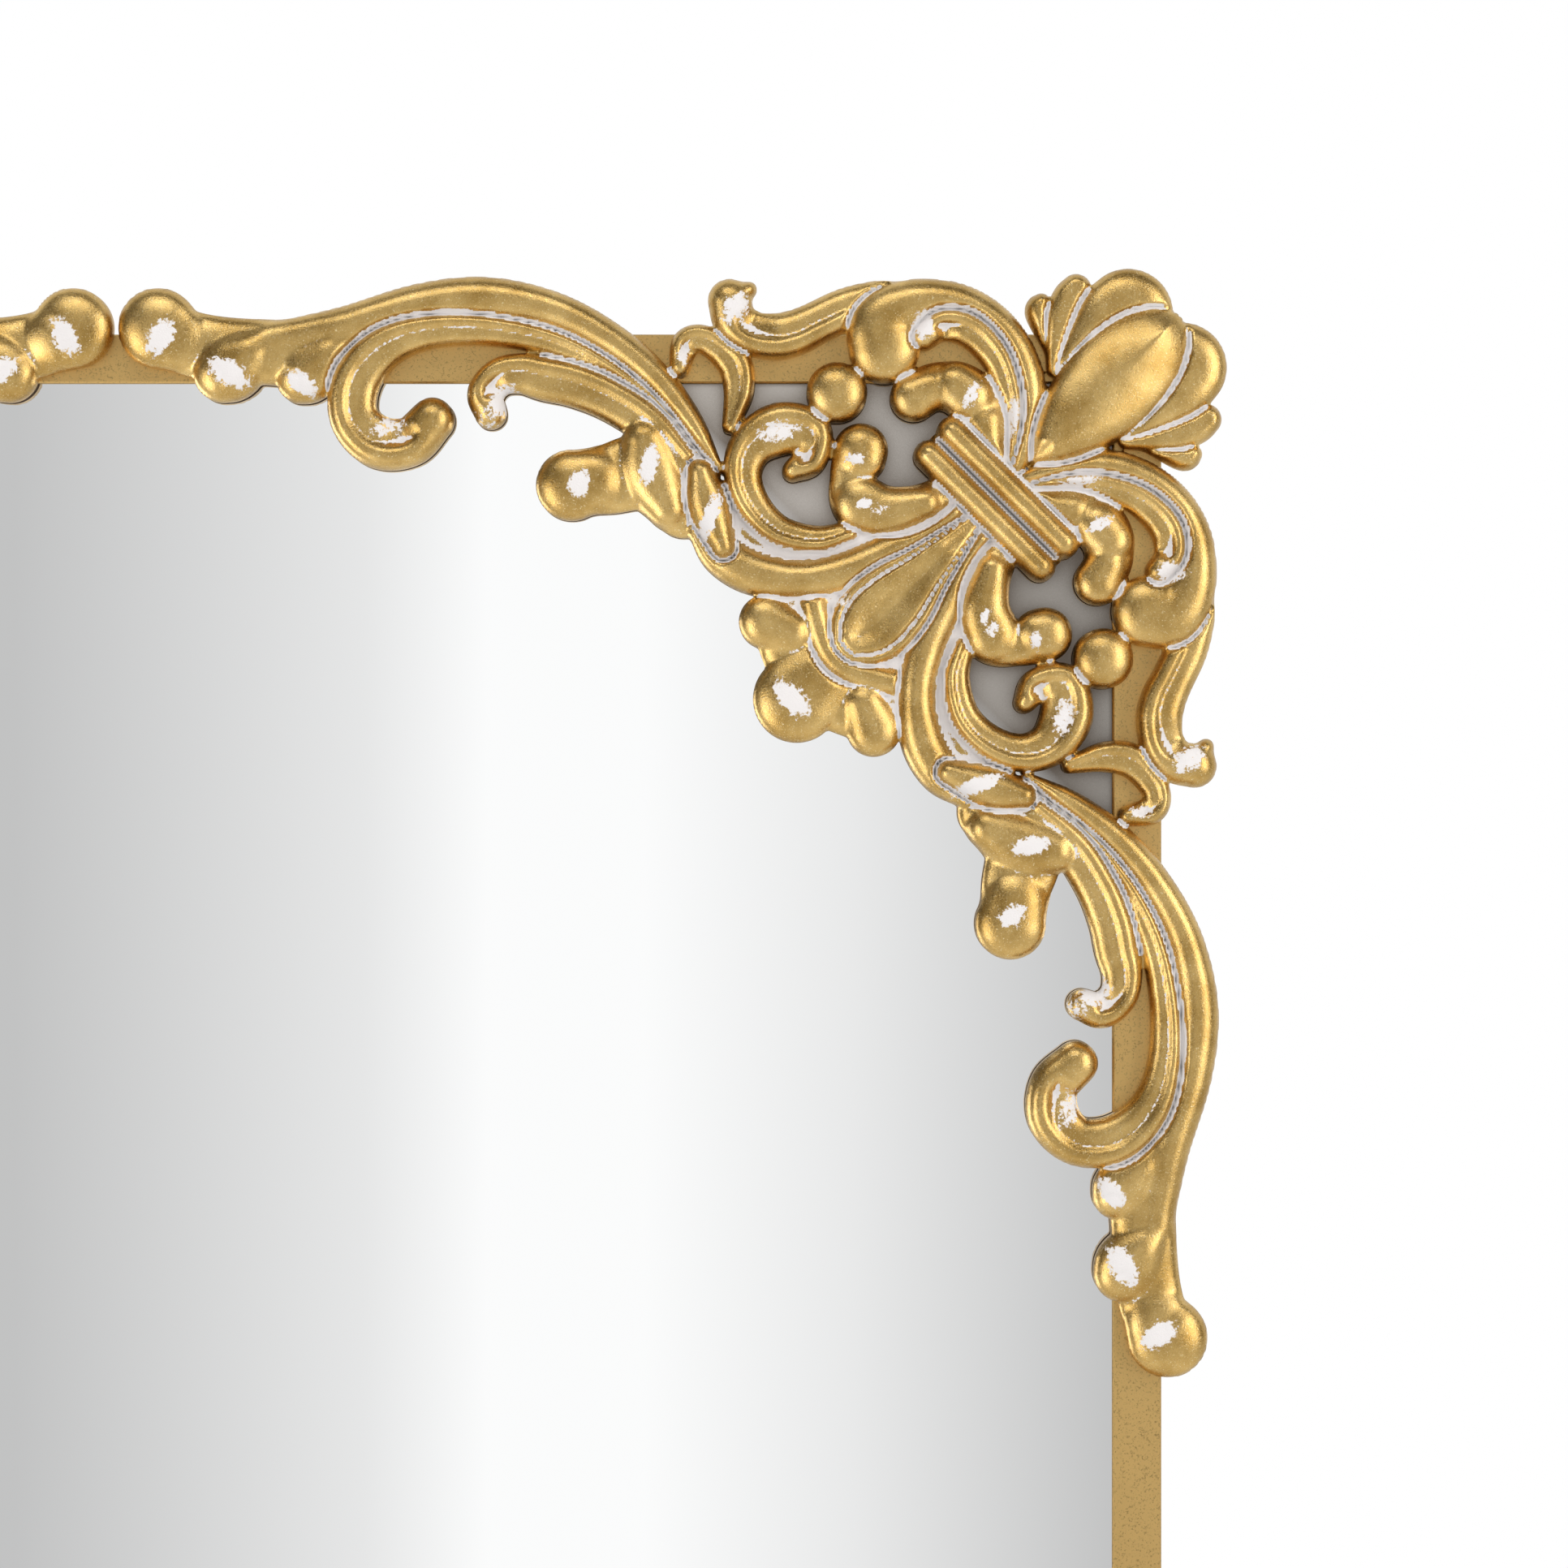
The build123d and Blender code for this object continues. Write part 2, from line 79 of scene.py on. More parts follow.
# Carving of one arm in mm: distance along the rail from the outer corner, distance in
# from the outer edge, width and, where it isn't 1, the share of the crest's height.
# Before the stations: crest height, kind of section, softness of its joint with the rest.
# A later row lies on top, and a softness under 1 cuts a groove around the row.
ARM_CARVING = [
    (4.5, "roll", 1.0, [(186, 42, 9), (164, 78, 15), (132, 86, 13), (82, 66, 10)]),
    (7.0, "roll", 2.4, [(150, 104, 11), (138, 103, 14), (124, 102, 13)]),
    (13, "roll", 0.6, [
        (346, 2, 12, 0.8), (332, 0, 14, 0.9), (316, -3, 15.5), (288, -11, 16.5),
        (262.5, -13.5, 16.5), (237, -9, 14.5), (216, 1.5, 13.5), (198, 16, 12.5),
        (183.5, 34, 10), (171.5, 53, 2.5),
    ]),
    (10.8, "roll", 3.0, [
        (388, 0, 24, 0.85), (377, 4, 25, 0.8), (366, 6, 25, 0.85), (352, 7, 25), (338, 7.5, 25.5),
        (322, 6, 25), (304, 0, 18),
    ]),
    (12.8, "roll", 2.4, [(390, -2, 31), (385, 1, 27, 0.9)]),
    (13.2, "roll", 1.6, [
        (347, 2.5, 10, 0.8), (354, 7.5, 17), (361, 13, 25), (365, 15.5, 22.5, 0.92),
    ]),
    (13.2, "roll", 1.6, [
        (316, 0, 10, 0.8), (323, 7.5, 15), (331, 15, 22), (334.5, 17.5, 19.5, 0.92),
    ]),
    (12, "scroll", 0.5, [
        (283.5, 33.5, 17), (292.5, 42, 19), (305, 42, 20.5), (314, 32.5, 19), (313, 18, 19),
        (302, 5.5, 16), (285, -0.5, 13), (262.5, -1, 11.5), (237, 4, 10), (215, 15, 9),
        (196, 31, 7.5), (177.5, 51.5, 2.5),
    ]),
    (11, "scroll", 0.5, [
        (261, 31, 12.5), (263, 23.5, 14), (257.5, 17, 14.5), (249, 15.5, 15.5),
        (240, 17.5, 17), (228.5, 20, 17), (215, 25.5, 16.5), (199.5, 35.5, 15.5),
        (183.5, 51.5, 9),
    ]),
    (9, "roll", 3.0, [(229, 58.5, 24), (215, 56.5, 27), (200, 54.5, 29), (186, 68, 23)]),
    (12, "roll", 1.8, [(229.5, 59, 27.5), (221, 57, 24)]),
    (12.6, "roll", 1.6, [(201, 42, 18), (198.5, 54, 23), (192, 68, 16)]),
    (12.6, "roll", 0.8, [
        (176.5, 76, 16), (170.5, 86, 17), (158.5, 93, 17), (141, 95.5, 15), (123.5, 92.5, 15.5),
        (104.5, 84.5, 15.5), (89, 75, 12.5), (76, 65, 8),
    ]),
    (12.4, "scroll", 0.5, [
        (143.5, 53.5, 8.5), (137, 48.5, 13.5), (136.5, 38.5, 16.5), (148, 37, 20.5),
        (159, 43, 17.5), (163, 54, 15), (159, 66.5, 13.5), (149, 76.5, 12), (134.5, 80, 10.5),
        (122, 77, 8),
    ]),
    (14, "roll", 0.6, [(179.5, 54, 11), (176.5, 67, 17), (170.5, 83, 11)]),
    (12.5, "roll", 0.6, [(126.5, 23, 23.4), (126.3, 23, 23.4)]),
    (9.5, "scroll", 0.5, [
        (187.5, 13.5, 8), (185, 4, 11), (177.5, 2.5, 11), (167, 10.5, 13.5), (164.5, 21.5, 12),
        (168, 36, 6),
    ]),
    (12.2, "scroll", 0.6, [
        (168, -12.5, 17), (166, -5, 17), (159, 0, 17), (150, 1.2, 18), (142, -0.5, 17.5),
        (134.5, -4, 16.5), (123, -9.5, 16), (111, -14, 12.5), (103, -17, 6),
    ]),
    (9, "roll", 1.5, [(168, -13, 14), (160.5, -17, 6)]),
    (13.8, "roll", 0.8, [
        (108, 5.5, 28), (109.5, -2, 25.5), (104.5, -8.5, 21), (94, -12.5, 17),
        (79.5, -11.5, 15.5), (66.5, -4.5, 15), (57, 7, 14.5), (52.3, 22, 14.5), (53.5, 39, 12.5),
        (57, 56, 4.5),
    ]),
    (10.8, "scroll", 0.5, [
        (92.5, 1.5, 10.5), (86, -3, 12), (77, -2, 13), (69, 4, 12.5), (62.5, 14, 11), (59, 30, 9.5),
        (59.5, 50, 3),
    ]),
    (9.3, "roll", 0.6, [
        (96, 24, 18), (87, 20.5, 18.5), (76, 23, 20.5), (68.5, 35, 17.5), (65, 50, 9),
    ]),
    (11.4, "roll", 1.2, [(96.5, 25, 18.5), (90, 21.5, 16)]),
    (12.4, "roll", 1.2, [(80.5, 20.5, 19), (75, 25, 20)]),
    (11.2, "roll", 1.2, [(69.5, 35, 16.5), (66, 48, 9.5)]),
    (9.3, "roll", 0.6, [
        (117.5, 46, 20.5), (120.5, 55, 17), (117.5, 66, 21), (103, 69.5, 18.5), (89, 64.5, 15),
        (76, 55, 8),
    ]),
    (12.0, "roll", 1.4, [(117, 45.5, 21), (116.5, 48, 19)]),
    (12.2, "roll", 1.4, [(117, 66, 22), (107, 69, 19.5), (92, 66, 13.5)]),
    (10, "roll", 0.6, [(47, -12, 7), (48.3, -8.5, 10), (44, 1, 9), (40, 12, 5)]),
    (10.6, "petal", 0.6, [(33.5, -17, 12), (35.5, -12, 16), (38.5, -3, 15), (42, 14, 6)]),
    (11.2, "petal", 0.6, [(13.3, -7.6, 34.8), (18, -4, 33), (28, 6, 22), (36, 16, 12)]),
]

# Pieces that lie across or along the corner's diagonal
CORNER_CARVING = [
    (8.4, "roll", 2.4, [
        (152, 112, 16), (142, 125, 26), (133, 133, 34), (125, 142, 26), (112, 152, 16),
    ]),
    (12.2, "roll", 1.8, [(142, 142, 34), (132, 132, 26)]),
    (10.4, "roll", 0.8, [
        (137, 92, 10), (134.5, 110, 11.5), (127, 127, 12), (110, 134.5, 11.5), (92, 137, 10),
    ]),
]
FAN = (12.6, "fan", 0.6, [(66, 4), (73, 7), (92, 20), (104, 31), (112, 33), (116.5, 25)])
POINTED_LEAF = (15.2, "leaf", 0.5, [
    (50, 3), (41, 20), (33, 30.5), (25, 36.8), (17, 38.6), (9.5, 35.5), (3.5, 27.5), (-1, 15),
    (-4.3, 2),
])
SHELL_SIDE = (11.2, "roll", 1.6, [(154, 112, 21), (144, 116, 17)])
TIE_MIDDLES = (60.1, 69.1)
TIE_HALF = 21.6
TIE_BAR = (15.4, 12.0)
TIE_PLATE = (7.6, "roll", 0.6, [(46, 83.2, 17), (64.6, 64.6, 19), (83.2, 46, 17)])

# Places where the gilding is rubbed through to the primer:
# along, inward, half length, half width, turn in degrees, and how complete
ARM_RUBS = [
    (388, 2, 7.4, 4.4, 60, 1.0), (361.5, 16, 8.6, 4.6, 150, 1.0), (333.5, 20, 6.8, 3.8, 140, 1.0),
    (301, 36.5, 9.5, 4.5, 10, 0.6), (255.6, 26.5, 6.6, 5.2, 60, 0.9),
    (226, 58.8, 5.4, 4.0, 70, 1.0), (199, 51.5, 7.6, 3.4, 80, 1.0), (175.5, 72, 9.8, 3.0, 70, 1.0),
    (165.6, -9.5, 7.0, 4.6, 60, 0.85), (186, 9, 4.4, 2.4, 90, 0.8), (93, -2.6, 5.6, 4.0, 90, 0.9),
    (119.4, 49.3, 4.2, 2.4, 0, 0.8), (115.5, 66.4, 4.2, 2.4, 20, 0.7),
    (74.5, 25, 6.0, 2.8, 60, 0.7),
    (149, 38.5, 8.5, 4.2, 10, 0.75), (58, 33, 9.0, 3.0, 80, 0.7),
    (110, 69, 5.0, 2.4, 30, 0.6), (262, 34, 5.0, 7.0, 20, 0.5),
]
CORNER_RUBS = [(144, 142, 8.6, 4.6, 135, 1.0), (123.6, 104, 6.0, 3.6, 50, 0.5)]

# Share of the crest's height that the walls have, and the other measures of the carving in mm
EDGE_SHARE = 0.42
OUTLINE_FILLET = 1.0
LINE_STEP = 0.7
GROOVE_FLOOR = 6.2
GROOVE_SLOPE = 4.5
WEB_EDGE = 4.2
WEB_RISE = 1.4
TOP_MARGIN = 0.05
GRID_FROM = -27.0
GRID_TO = 408.0
FAR = 9.0
POINTS_AT_ONCE = 6000

# Colours that no setting changes
# Painted glints: pale gold of the bright specks in the gilding
PAINTED_GLINT_COLOUR = (1.0, 0.86, 0.52)
# Painted shade: grey of the primer in the deepest grooves
PAINTED_GROOVE_SHADE = (0.30, 0.29, 0.28)
RAW_BACK = (0.16, 0.11, 0.075)
GLASS_EDGE = ((0.16, 0.30, 0.25), (0.20, 0.36, 0.30))
GLASS_PAINT = (0.22, 0.225, 0.23)
# Painted shade and painted reflection of the casting's dark back on the glass behind the corner
# openings: its darkest and its lightest colour
PAINTED_SHADE_ON_GLASS = ((0.16, 0.13, 0.105), (0.66, 0.62, 0.57))
WHITE = (1.0, 1.0, 1.0)
WALL_BEHIND = (0.8, 0.8, 0.8)
DARK_ROOM = (0.12, 0.11, 0.10)
EVEN_LIGHT = (0.72, 0.72, 0.72)
FLOOR_PAPER = ((0.86, 0.86, 0.86), (0.88, 0.88, 0.88))

# Distance in m from the frame's corner, across its diagonal, to where the openings end, and with
# them the painted shade on the glass
OPENINGS_END = (0.212, 0.232)

# What the glass gives back from left to right: place in the sweep and grey
GLASS_SWEEP = [
    (0.0, 0.55), (0.16, 0.56), (0.36, 0.82), (0.43, 1.0), (0.52, 1.0), (0.64, 0.84),
    (0.79, 0.56), (1.0, 0.53),
]
SWEEP_SLANTS = (-0.24, 0.16)

# Soft lights: place (x and z from the middle of the view), width, height, share of the key
# light's power, colour
SOFTBOXES = {
    "softbox_right": ((1.5, -1.3, 0.35), 0.9, 1.9, 1.0, (1.0, 0.985, 0.96)),
    "softbox_left": ((-1.5, -1.2, -0.5), 0.6, 1.5, 0.6, (1.0, 0.99, 0.98)),
    "softbox_top": ((-0.2, -1.3, 1.5), 1.5, 0.45, 0.45, (1.0, 1.0, 1.0)),
}
SENSOR = 36


class CarvingSettings(bpy.types.PropertyGroup):
    """Sizes and colours of the gilded castings."""

    grid: FloatProperty(
        name="Grid", description="Distance between two points of the carved surface",
        default=1.05 * MM, min=0.5 * MM, unit="LENGTH",
    )
    gold: FloatVectorProperty(
        name="Gold leaf", description="Colour of the gilding where it faces the light",
        default=(0.80, 0.55, 0.205), subtype="COLOR",
    )
    deep_gold: FloatVectorProperty(
        name="Deep gold", description="Colour of the gilding in its darker clouds",
        default=(0.51, 0.315, 0.09), subtype="COLOR",
    )
    primer: FloatVectorProperty(
        name="Primer", description="Colour of the chalk primer in grooves and rubbed places",
        default=(0.74, 0.71, 0.70), subtype="COLOR",
    )


class FrameSettings(bpy.types.PropertyGroup):
    """Finishes of the frame, glass and back."""

    lacquer: FloatVectorProperty(
        name="Gold lacquer", description="Colour of the lacquered frame sides",
        default=(0.72, 0.48, 0.18), subtype="COLOR",
    )
    silver: FloatVectorProperty(
        name="Silvering", description="Colour that the mirror gives back",
        default=(0.965, 0.97, 0.97), subtype="COLOR",
    )
    board: FloatVectorProperty(
        name="Fibreboard", description="Colour of the backing board",
        default=(0.33, 0.20, 0.105), subtype="COLOR",
    )


class StudioSettings(bpy.types.PropertyGroup):
    """Camera and light."""

    view_width: FloatProperty(
        name="View width", description="Width of the picture at the front of the frame",
        default=PHOTO_SIZE * PHOTO_SCALE * MM, unit="LENGTH",
    )
    distance: FloatProperty(
        name="Camera distance", description="Distance of the camera from the frame",
        default=1.70, unit="LENGTH",
    )
    key_power: FloatProperty(
        name="Key light", description="Power of the light on the right", default=18,
    )


# Carved surface

def smooth_line(stations):
    """Samples of a smooth line through the stations, with their heading and run."""
    rows = np.array([list(s) + [1.0] * (4 - len(s)) for s in stations], float)
    rows = np.vstack([2 * rows[0] - rows[1], rows, 2 * rows[-1] - rows[-2]])
    pieces = []
    for i in range(1, len(rows) - 2):
        before, start, end, after = rows[i - 1:i + 3]
        count = max(2, int(np.linalg.norm(end[:2] - start[:2]) / LINE_STEP))
        t = np.arange(count)[:, None] / count
        pieces.append(0.5 * (
            2 * start + (end - before) * t + (2 * before - 5 * start + 4 * end - after) * t ** 2
            + (3 * start - before - 3 * end + after) * t ** 3
        ))
    line = np.vstack(pieces + [rows[-2][None]])
    line[:, 2] = np.maximum(line[:, 2], 0.6)
    heading = np.gradient(line[:, :2], axis=0)
    heading /= np.linalg.norm(heading, axis=1)[:, None] + 1e-9
    steps = np.linalg.norm(np.diff(line[:, :2], axis=0), axis=1)
    return line, heading, np.concatenate([[0], np.cumsum(steps)])


def outer_side(heading):
    """On which side of a scroll its outer edge lies, from how its free end curls."""
    first = heading[:max(4, int(len(heading) * 0.45))]
    turn = first[:-1, 0] * first[1:, 1] - first[:-1, 1] * first[1:, 0]
    return -1.0 if turn.sum() > 0 else 1.0


def step_between(low, high, value):
    """A smooth step from 0 at low to 1 at high."""
    t = np.clip((value - low) / (high - low), 0, 1)
    return t * t * (3 - 2 * t)


def dome(share):
    """Height of a quarter circle, from 0 at its foot to 1 on top."""
    return np.sqrt(np.maximum(0, 1 - (1 - np.clip(share, 0, 1)) ** 2))


def section_height(kind, half, side_run, depth, run, run_total, start_half, side):
    """Height of a section, as a share of its crest, from where a point lies in its band."""
    lift = EDGE_SHARE + (1 - EDGE_SHARE) * dome(depth / half)
    if kind == "scroll":
        rim_run = half - side * side_run
        rim_width = np.maximum(1.08 * half, 2.2)
        rim_place = rim_run / rim_width
        rim = np.sqrt(np.maximum(0, 1 - (2 * rim_place - 1) ** 2))
        rim = np.where(rim_place < 1, EDGE_SHARE + (1 - EDGE_SHARE) * rim, 0)
        cup = 1 - step_between(1.6 * start_half, 3.4 * start_half, run)
        floor = EDGE_SHARE + (0.84 - 0.24 * cup - EDGE_SHARE) * dome(depth / (0.8 * half))
        curled = step_between(0.5 * start_half, 1.9 * start_half, run)
        lift = lift * (1 - curled) + np.maximum(rim, floor) * curled
    if kind == "leaf":
        ridge = step_between(0.25, 0.85, run / run_total)
        across = np.abs(side_run) / half
        lift = EDGE_SHARE + (1 - EDGE_SHARE) * (
            dome(depth / half) * (1 - 0.6 * ridge) + 0.6 * ridge * (1 - across ** 1.15)
        )
    if kind == "petal":
        inner = step_between(0.15, 0.95, run / run_total)
        lift = EDGE_SHARE + (1 - EDGE_SHARE) * dome(depth / (0.62 * half)) * (1 - 0.35 * inner)
    if kind == "fan":
        across = np.abs(side_run) / half
        spread = step_between(0.15, 0.8, run / run_total)
        hollow = 0.30 * spread * np.exp(-(across / 0.4) ** 2)
        crease = 0.24 * np.exp(-((across - 0.72) / 0.06) ** 2)
        lift = EDGE_SHARE + (1 - EDGE_SHARE) * dome(depth / (0.36 * half)) * (1 - hollow) - crease
    return lift


def soft_max(a, b, k):
    """The larger of two fields, blended where they are closer than k."""
    apart = np.abs(a - b)
    return np.maximum(a, b) + np.maximum(0, k - apart) ** 2 / (4 * k)


def carve(points, outline, height, band):
    """Adds one band to the outline distance and height of the points."""
    crest, kind, softness, stations = band
    line, heading, runs = smooth_line(stations)
    half = line[:, 2] / 2
    reach = half.max() + 4
    low, high = line[:, :2].min(0) - reach, line[:, :2].max(0) + reach
    near = np.nonzero(((points > low) & (points < high)).all(1))[0]
    side = outer_side(heading)
    taper = np.minimum(1, 0.45 + 0.55 * half / (0.45 * half.max())) * line[:, 3]
    for start in range(0, len(near), POINTS_AT_ONCE):
        rows = near[start:start + POINTS_AT_ONCE]
        p = points[rows]
        gap = np.linalg.norm(p[:, None] - line[None, :, :2], axis=2) - half
        nearest = gap.argmin(1)
        away = p - line[nearest, :2]
        ahead = heading[nearest]
        cross = ahead[:, 0] * away[:, 1] - ahead[:, 1] * away[:, 0]
        distance = np.linalg.norm(away, axis=1)
        side_run = np.where(cross < 0, -distance, distance)
        edge = gap[np.arange(len(rows)), nearest]
        run = runs[nearest] + (away * ahead).sum(1)
        lift = section_height(
            kind, half[nearest], side_run, np.maximum(-edge, 0), run, runs[-1], half[0], side
        )
        lift = np.where(edge < 0, crest * taper[nearest] * lift, -FAR)
        if softness < 1:
            foot = np.maximum(crest * taper[nearest] * EDGE_SHARE, GROOVE_FLOOR)
            ceiling = foot + GROOVE_SLOPE * np.maximum(edge, 0)
            height[rows] = np.minimum(height[rows], ceiling)
        height[rows] = soft_max(height[rows], lift, softness)
        outline[rows] = -soft_max(-outline[rows], -edge, OUTLINE_FILLET)


def tie_line(middle, width):
    """Stations of a bar that crosses the diagonal."""
    return [
        (middle + TIE_HALF * s, middle - TIE_HALF * s, width) for s in (-1, 0, 1)
    ]


def relief(points):
    """Outline distance (negative inside) and height in mm at points (along, inward)."""
    outline = np.full(len(points), FAR)
    height = np.full(len(points), -FAR)
    swapped = points[:, ::-1].copy()
    for band in CORNER_CARVING:
        carve(points, outline, height, band)
    for band in [SHELL_SIDE] + ARM_CARVING:
        carve(points, outline, height, band)
        carve(swapped, outline, height, band)
    for crest, kind, softness, stations in (FAN, POINTED_LEAF):
        run = [(place, place, width) for place, width in stations]
        carve(points, outline, height, (crest, kind, softness, run))
    carve(points, outline, height, TIE_PLATE)
    for middle in TIE_MIDDLES:
        carve(points, outline, height, (TIE_BAR[0], "roll", 0.3, tie_line(middle, TIE_BAR[1])))
    web = WEB_EDGE + np.minimum(WEB_RISE, 0.5 * np.maximum(-outline, 0))
    height = np.maximum(height, web)
    return outline, np.minimum(height, CAST_DEPTH - TOP_MARGIN)


def blurred(field, cells):
    """The field averaged over a soft window that many cells wide each way."""
    reach = int(cells * 2.5)
    window = np.exp(-0.5 * (np.arange(-reach, reach + 1) / cells) ** 2)
    window /= window.sum()
    for axis in (0, 1):
        padded = np.pad(field, [(reach, reach) if a == axis else (0, 0) for a in (0, 1)])
        field = sum(
            weight * np.take(padded, range(i, i + field.shape[axis]), axis)
            for i, weight in enumerate(window)
        )
    return field


def rub_strength(points):
    """How strongly each point is rubbed, from 0 at the patches' edges to 1 in their middles."""
    strength = np.zeros(len(points))
    both_arms = [(points, rub) for rub in ARM_RUBS + CORNER_RUBS]
    both_arms += [(points[:, ::-1], rub) for rub in ARM_RUBS]
    for place, (along, inward, length, width, turn, full) in both_arms:
        c, s = math.cos(math.radians(turn)), math.sin(math.radians(turn))
        away = place - np.array([along, inward])
        a = (away[:, 0] * c + away[:, 1] * s) / length
        b = (away[:, 1] * c - away[:, 0] * s) / width
        strength = np.maximum(strength, full * np.clip(1.35 - 0.85 * np.hypot(a, b), 0, 1))
    return strength


def finish_casting(grid):
    """Builds the casting's skin, walls and back, and writes its masks as attributes."""
    cells = int((GRID_TO - GRID_FROM) / grid)
    size = cells * grid / 2
    carved = bmesh.new()
    bmesh.ops.create_grid(
        carved, x_segments=cells, y_segments=cells, size=size,
        matrix=Matrix.Translation((GRID_FROM + size, GRID_FROM + size, 0)),
    )
    carved.verts.index_update()
    points = np.array([v.co[:2] for v in carved.verts], float)
    outline, height = relief(points)
    column = np.rint((points[:, 0] - GRID_FROM) / grid).astype(int)
    row = np.rint((points[:, 1] - GRID_FROM) / grid).astype(int)
    table = np.zeros((cells + 1, cells + 1))
    inside = np.zeros_like(table)
    table[row, column] = np.where(outline < 0, height, 0)
    inside[row, column] = outline < 0
    cavity = blurred(table, 1.7 / grid)[row, column] - height
    solid = blurred(inside, 1.0 / grid)[row, column]
    cavity = np.maximum(cavity, 0) * step_between(0.9, 0.99, solid)

    crevice = carved.verts.layers.float.new("crevice")
    rubbed = carved.verts.layers.float.new("rubbed")
    for vert, deep in zip(carved.verts, cavity):
        vert[crevice] = deep
    off = [f for f in carved.faces if sum(outline[v.index] for v in f.verts) > 0]
    bmesh.ops.delete(carved, geom=off, context="FACES")

    cut = [v for v in carved.verts if v.is_boundary]
    places = np.array([v.co[:2] for v in cut], float)
    for _ in range(3):
        here = relief(places)[0]
        slope = np.stack([
            relief(places + shift)[0] - relief(places - shift)[0]
            for shift in (np.array([0.15, 0]), np.array([0, 0.15]))
        ], 1) / 0.3
        step = here[:, None] * slope / ((slope ** 2).sum(1)[:, None] + 0.2)
        places -= np.clip(step, -0.5 * grid, 0.5 * grid)
    for vert, place in zip(cut, places):
        vert.co.x, vert.co.y = place

    raised = bmesh.ops.extrude_face_region(carved, geom=list(carved.faces))["geom"]
    skin = [part for part in raised if isinstance(part, bmesh.types.BMVert)]
    points = np.array([v.co[:2] for v in skin], float)
    height = relief(points)[1]
    strength = rub_strength(points)
    for vert, lift, strong in zip(skin, height, strength):
        vert.co.z = lift
        vert[rubbed] = strong
    bmesh.ops.recalc_face_normals(carved, faces=carved.faces)
    for face in carved.faces:
        face.smooth = True
    for edge in carved.edges:
        if edge.verts[0].co.z < 0.01 and edge.verts[1].co.z < 0.01:
            edge.smooth = edge.calc_face_angle(0) < 0.8
    return carved


def corner_casting(carved, name, right, up):
    """One corner's casting: the carved mesh turned into its place on the frame."""
    mesh = bpy.data.meshes.new(name)
    carved.to_mesh(mesh)
    place = Matrix((
        (-right * MM, 0, 0, right * HALF_WIDTH * MM),
        (0, 0, -MM, FRONT * MM),
        (0, -up * MM, 0, (MIDDLE + up * HALF_HEIGHT) * MM),
        (0, 0, 0, 1),
    ))
    mesh.transform(place)
    if place.determinant() < 0:
        mesh.flip_normals()
    casting = bpy.data.objects.new(name, mesh)
    bpy.context.scene.collection.objects.link(casting)
    return casting


# Material helpers

def add_node(tree, kind, inputs=None, **settings):
    """A node with its settings; an input is a value or a socket to link from."""
    node = tree.nodes.new(kind)
    for name, value in settings.items():
        setattr(node, name, value)
    for name, value in (inputs or {}).items():
        if isinstance(value, bpy.types.NodeSocket):
            tree.links.new(value, node.inputs[name])
        else:
            node.inputs[name].default_value = value
    return node


def new_group(name, inputs, outputs):
    """A shader node group with float or vector sockets and its two end nodes."""
    group = bpy.data.node_groups.new(name, "ShaderNodeTree")
    for socket, default in inputs.items():
        kind = "NodeSocketVector" if default is None else "NodeSocketFloat"
        made = group.interface.new_socket(socket, in_out="INPUT", socket_type=kind)
        if default is not None:
            made.default_value = default
    for socket in outputs:
        group.interface.new_socket(socket, in_out="OUTPUT", socket_type="NodeSocketFloat")
    return group, group.nodes.new("NodeGroupInput"), group.nodes.new("NodeGroupOutput")


def grain_group():
    """Fine grain with clouds: Tone for colour, Painted_Glint_Mask for the specks of painted glints,
    Height for bump.
    """
    group, given, out = new_group(
        "Fine_Grain", {"Vector": None, "Grain": 900.0, "Cloud": 40.0}, ["Tone", "Painted_Glint_Mask", "Height"]
    )
    grain = add_node(group, "ShaderNodeTexNoise", {
        "Vector": given.outputs["Vector"], "Scale": given.outputs["Grain"],
        "Detail": 2.0, "Roughness": 0.7,
    })
    cloud = add_node(group, "ShaderNodeTexNoise", {
        "Vector": given.outputs["Vector"], "Scale": given.outputs["Cloud"],
        "Detail": 4.0, "Roughness": 0.6,
    })
    painted_glint_range = add_node(group, "ShaderNodeMapRange", {
        "Value": grain.outputs["Fac"], "From Min": 0.60, "From Max": 0.74,
    })
    tone = add_node(group, "ShaderNodeMapRange", {
        "Value": cloud.outputs["Fac"], "From Min": 0.35, "From Max": 0.68,
    })
    group.links.new(tone.outputs["Result"], out.inputs["Tone"])
    group.links.new(painted_glint_range.outputs["Result"], out.inputs["Painted_Glint_Mask"])
    group.links.new(grain.outputs["Fac"], out.inputs["Height"])
    return group


def ragged_group():
    """A mask with a torn edge: a strength from 0 to 1 broken up by flakes."""
    group, given, out = new_group(
        "Ragged_Mask", {"Vector": None, "Strength": 0.0, "Flake": 900.0}, ["Mask"]
    )
    flakes = add_node(group, "ShaderNodeTexNoise", {
        "Vector": given.outputs["Vector"], "Scale": given.outputs["Flake"],
        "Detail": 6.0, "Roughness": 0.72,
    })
    broken = add_node(group, "ShaderNodeMath", {
        0: flakes.outputs["Fac"], 1: 2.0,
    }, operation="MULTIPLY")
    total = add_node(group, "ShaderNodeMath", {
        0: given.outputs["Strength"], 1: broken.outputs[0],
    }, operation="ADD")
    mask = add_node(group, "ShaderNodeMapRange", {
        "Value": total.outputs[0], "From Min": 1.46, "From Max": 1.56,
    })
    group.links.new(mask.outputs["Result"], out.inputs["Mask"])
    return group


def shared(name, build):
    """A node group by name, built when it is first asked for."""
    return bpy.data.node_groups.get(name) or build()


